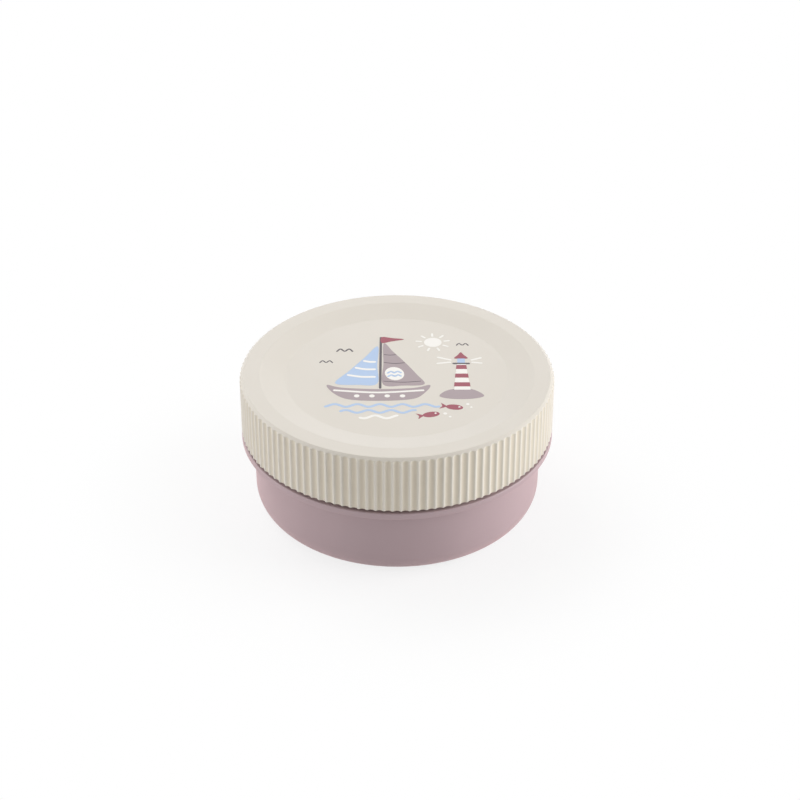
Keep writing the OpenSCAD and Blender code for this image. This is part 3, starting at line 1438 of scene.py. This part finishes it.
@dataclass(frozen=True)
class Moulded:
    """Finish of a moulded plastic, silicone or printed surface.

    Its colours are 8-bit screen colours, and it drifts slowly from one
    colour and roughness to the other.
    """

    name: str
    colour: Triple
    drift: Triple
    roughness: float = 0.42
    rougher: float = 0.5
    grain_size: float = 0.3 * MM
    grain_depth: float = 0.02 * MM
    grain_strength: float = 0.6
    swell_size: float = 14 * MM
    rub: float = 0.35
    rub_polish: float = 0.12
    subsurface: float = 0.0
    glow: Triple = (1.0, 0.5, 0.5)
    glow_depth: float = 2.5 * MM
    sheen: float = 0.0
    sheen_colour: Triple = (255, 255, 255)
    specular: float = 0.5

    def material(self, grain: bpy.types.NodeTree, rub: bpy.types.NodeTree) -> bpy.types.Material:
        """Make the material of this finish.

        Args:
            grain: The group of the mould's grain.
            rub: The group of the rub marks.

        Returns:
            The new material.
        """
        made = bpy.data.materials.new(self.name)
        desk = empty_tree(made)
        place = desk.add("TexCoord").outputs["Object"]
        texture = desk.add("Group", node_tree=grain, Vector=place, Grain_Size=self.grain_size,
                           Swell_Size=self.swell_size)
        marks = desk.add("Group", node_tree=rub, Vector=place, Share=self.rub)
        drift = texture.outputs["Drift"]
        tone = desk.add("MixRGB", Fac=drift, Color1=linear(self.colour), Color2=linear(self.drift))
        dull = desk.add("MapRange", Value=drift, To_Min=self.roughness, To_Max=self.rougher)
        rubbed = desk.calculate("MULTIPLY_ADD", marks.outputs["Mark"], -self.rub_polish,
                                dull.outputs["Result"])
        bump = desk.add("Bump", Strength=self.grain_strength, Distance=self.grain_depth,
                        Height=texture.outputs["Height"])
        surface = desk.add(
            "BsdfPrincipled",
            Base_Color=self.shaded(desk, place, tone.outputs["Color"]),
            Roughness=rubbed,
            Normal=bump.outputs["Normal"],
            Subsurface_Weight=self.subsurface,
            Subsurface_Radius=self.glow,
            Subsurface_Scale=self.glow_depth,
            Sheen_Weight=self.sheen,
            Sheen_Tint=linear(self.sheen_colour),
            Specular_IOR_Level=self.specular,
        )
        desk.add("OutputMaterial", Surface=surface.outputs["BSDF"])
        return made

    def shaded(self, desk: Desk, place: Socket, colour: Socket) -> Socket:
        """Colour of the surface with any painted shade, which on a plain finish is its own tone."""
        return colour


@dataclass(frozen=True)
class Fluted(Moulded):
    """Finish of the lid, whose flute floors get painted shade: a darker, warmer colour in place of the
    shading between the flutes.
    """

    # Painted shade: darker, warmer colour for the flute floors, standing in for the shading and bounce
    # light between the flutes
    floor_colour: Triple = (217, 207, 188)

    def shaded(self, desk: Desk, place: Socket, colour: Socket) -> Socket:
        """Paint shade onto the floors of the flutes, turning the colour darker and warmer there.

        Args:
            desk: The desk of the material.
            place: The socket of the Object coordinates.
            colour: The socket of the plain tone.

        Returns:
            The socket of the shaded colour.
        """
        flute = desk.add("Group", node_tree=flute_shade_mask(), Vector=place)
        # Painted shade: the colour is mixed toward the darker, warmer one deep in the flutes
        floor = desk.add("MixRGB", Fac=flute.outputs["Deep"], Color1=colour,
                         Color2=linear(self.floor_colour))
        return floor.outputs["Color"]


MAUVE = Moulded("mauve_plastic", (178, 157, 161), (175, 154, 158), sheen=0.3,
                sheen_colour=(255, 190, 190))
CREAM = Fluted("cream_plastic", (222, 215, 204), (220, 213, 201), roughness=0.52, rougher=0.6,
               specular=0.3, sheen=0.4, sheen_colour=(235, 242, 255))
SILICONE = Moulded("milky_silicone", (228, 228, 224), (222, 223, 220), roughness=0.5,
                   rougher=0.6, subsurface=0.4, glow=(1, 1, 1))
INKS = {
    Ink.TAUPE: Moulded("taupe_ink", (170, 155, 158), (165, 150, 154), roughness=0.48),
    Ink.SKY: Moulded("sky_ink", (180, 201, 230), (175, 197, 228), roughness=0.48),
    Ink.BERRY: Moulded("berry_ink", (156, 78, 92), (150, 72, 87), roughness=0.48),
    Ink.IVORY: Moulded("ivory_ink", (246, 243, 238), (243, 240, 234), roughness=0.48),
    Ink.SLATE: Moulded("slate_ink", (84, 77, 82), (78, 72, 77), roughness=0.48),
}


# ------------------------------------------------------------------- studio


@dataclass(frozen=True)
class Softbox:
    """A square area lamp that looks at the container."""

    name: str
    place: Triple
    power: float
    size: float = 1.2
    aim_height: float = 30 * MM

    def build(self) -> None:
        """Hang the lamp so that it faces the middle of the container."""
        deselect_all()
        bpy.ops.object.light_add(type="AREA", location=self.place)
        lamp = bpy.context.object
        lamp.name = self.name
        lamp.data.shape = "SQUARE"
        lamp.data.size = self.size
        lamp.data.energy = self.power
        x, y, z = self.place
        tilt = math.atan2(math.hypot(x, y), z - self.aim_height)
        lamp.rotation_euler = (tilt, 0, math.atan2(x, -y))


@dataclass(frozen=True)
class Studio:
    """Camera, floor, lamps and surroundings of the photograph."""

    camera_place: Triple = (0.0011, -0.65195, 0.4588)
    camera_pitch: float = 57.36
    lens: float = 94.5
    sensor: float = 36.0
    world_level: float = 0.325
    floor_half: float = 4.0
    floor_colour: tuple[float, float, float, float] = (0.98, 0.98, 0.98, 1)
    # Share of plain white in the floor up to the near radius. It grows to 1 at the far one
    floor_white: float = 0.8
    shadow_near: float = 60 * MM
    shadow_far: float = 130 * MM
    boxes: tuple[Softbox, ...] = (
        Softbox("lamp_right", (1.5, 0.0, 0.5), 24.4),
        Softbox("lamp_left", (-1.5, 0.0, 0.5), 11.3),
        Softbox("lamp_back", (0.0, 1.2, 1.2), 3.8),
        Softbox("lamp_left_back", (-0.95, 0.95, 1.25), 12.2),
    )

    def build(self) -> None:
        """Set up the camera, the lamps, the world and the floor."""
        scene = bpy.context.scene
        scene.view_settings.view_transform = "Standard"
        self.build_camera(scene)
        for box in self.boxes:
            box.build()
        self.build_world(scene)
        self.build_floor()

    def build_camera(self, scene: bpy.types.Scene) -> None:
        """Set the camera up where the photograph was taken from.

        Args:
            scene: The scene that the camera is for.
        """
        deselect_all()
        tilt = (math.radians(self.camera_pitch), 0, 0)
        bpy.ops.object.camera_add(location=self.camera_place, rotation=tilt)
        camera = bpy.context.object
        camera.name = "photo_camera"
        camera.data.lens = self.lens
        camera.data.sensor_width = self.sensor
        scene.camera = camera

    def build_world(self, scene: bpy.types.Scene) -> None:
        """Surround the scene with a plain white that lights it softly.

        Args:
            scene: The scene that gets the world.
        """
        world = bpy.data.worlds.new("studio_world")
        desk = empty_tree(world)
        soft = desk.add("Background", Color=WHITE, Strength=self.world_level)
        white = desk.add("Background", Color=WHITE, Strength=1.0)
        desk.add("OutputWorld", Surface=desk.mix_shaders(self.seen(desk), soft, white))
        scene.world = world

    def seen(self, desk: Desk) -> Socket:
        """Tell rays that show the surroundings from rays of light.

        Args:
            desk: The desk of the material or world that needs it.

        Returns:
            The socket of a value that is 1 where the surroundings show.
        """
        rays = desk.add("LightPath").outputs
        direct = desk.calculate("MAXIMUM", rays["Is Camera Ray"], rays["Is Glossy Ray"])
        return desk.calculate("MAXIMUM", direct, rays["Is Transmission Ray"])

    def build_floor(self) -> None:
        """Lay a white floor, on which the container's shadow shows faintly."""
        deselect_all()
        bpy.ops.mesh.primitive_plane_add(size=2 * self.floor_half)
        floor = bpy.context.object
        floor.name = "studio_floor"
        made = bpy.data.materials.new("studio_white")
        desk = empty_tree(made)
        lit = desk.add("BsdfDiffuse", Color=self.floor_colour)
        white = desk.add("Emission", Color=WHITE, Strength=1.0)
        place = desk.add("TexCoord").outputs["Object"]
        away = desk.add("VectorMath", operation="LENGTH", Vector=place).outputs["Value"]
        share = desk.add("MapRange", interpolation_type="SMOOTHSTEP", Value=away,
                         From_Min=self.shadow_near, From_Max=self.shadow_far, To_Min=self.floor_white)
        fade = desk.calculate("MULTIPLY", share.outputs["Result"], self.seen(desk))
        desk.add("OutputMaterial", Surface=desk.mix_shaders(fade, lit, white))
        floor.data.materials.append(made)


# -------------------------------------------------------------------- whole


def main() -> None:
    """Build the studio of the photograph and, in it, the container round its frame."""
    logging.basicConfig(level=logging.INFO, format="%(name)s %(message)s")
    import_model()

    Studio().build()

    grain = mould_grain()
    rub = rub_marks()
    mauve = MAUVE.material(grain, rub)
    cream = CREAM.material(grain, rub)
    silicone = SILICONE.material(grain, rub)

    lid = Lid()
    for assembly, look in ((Bowl(), mauve), (Seal(), silicone), (lid, cream)):
        assembly.dress(assembly.build(), look)
    picture = Picture(lid.dish_top)
    for ink, film in picture.build().items():
        picture.dress([film], INKS[ink].material(grain, rub))


if __name__ == "__main__":
    main()
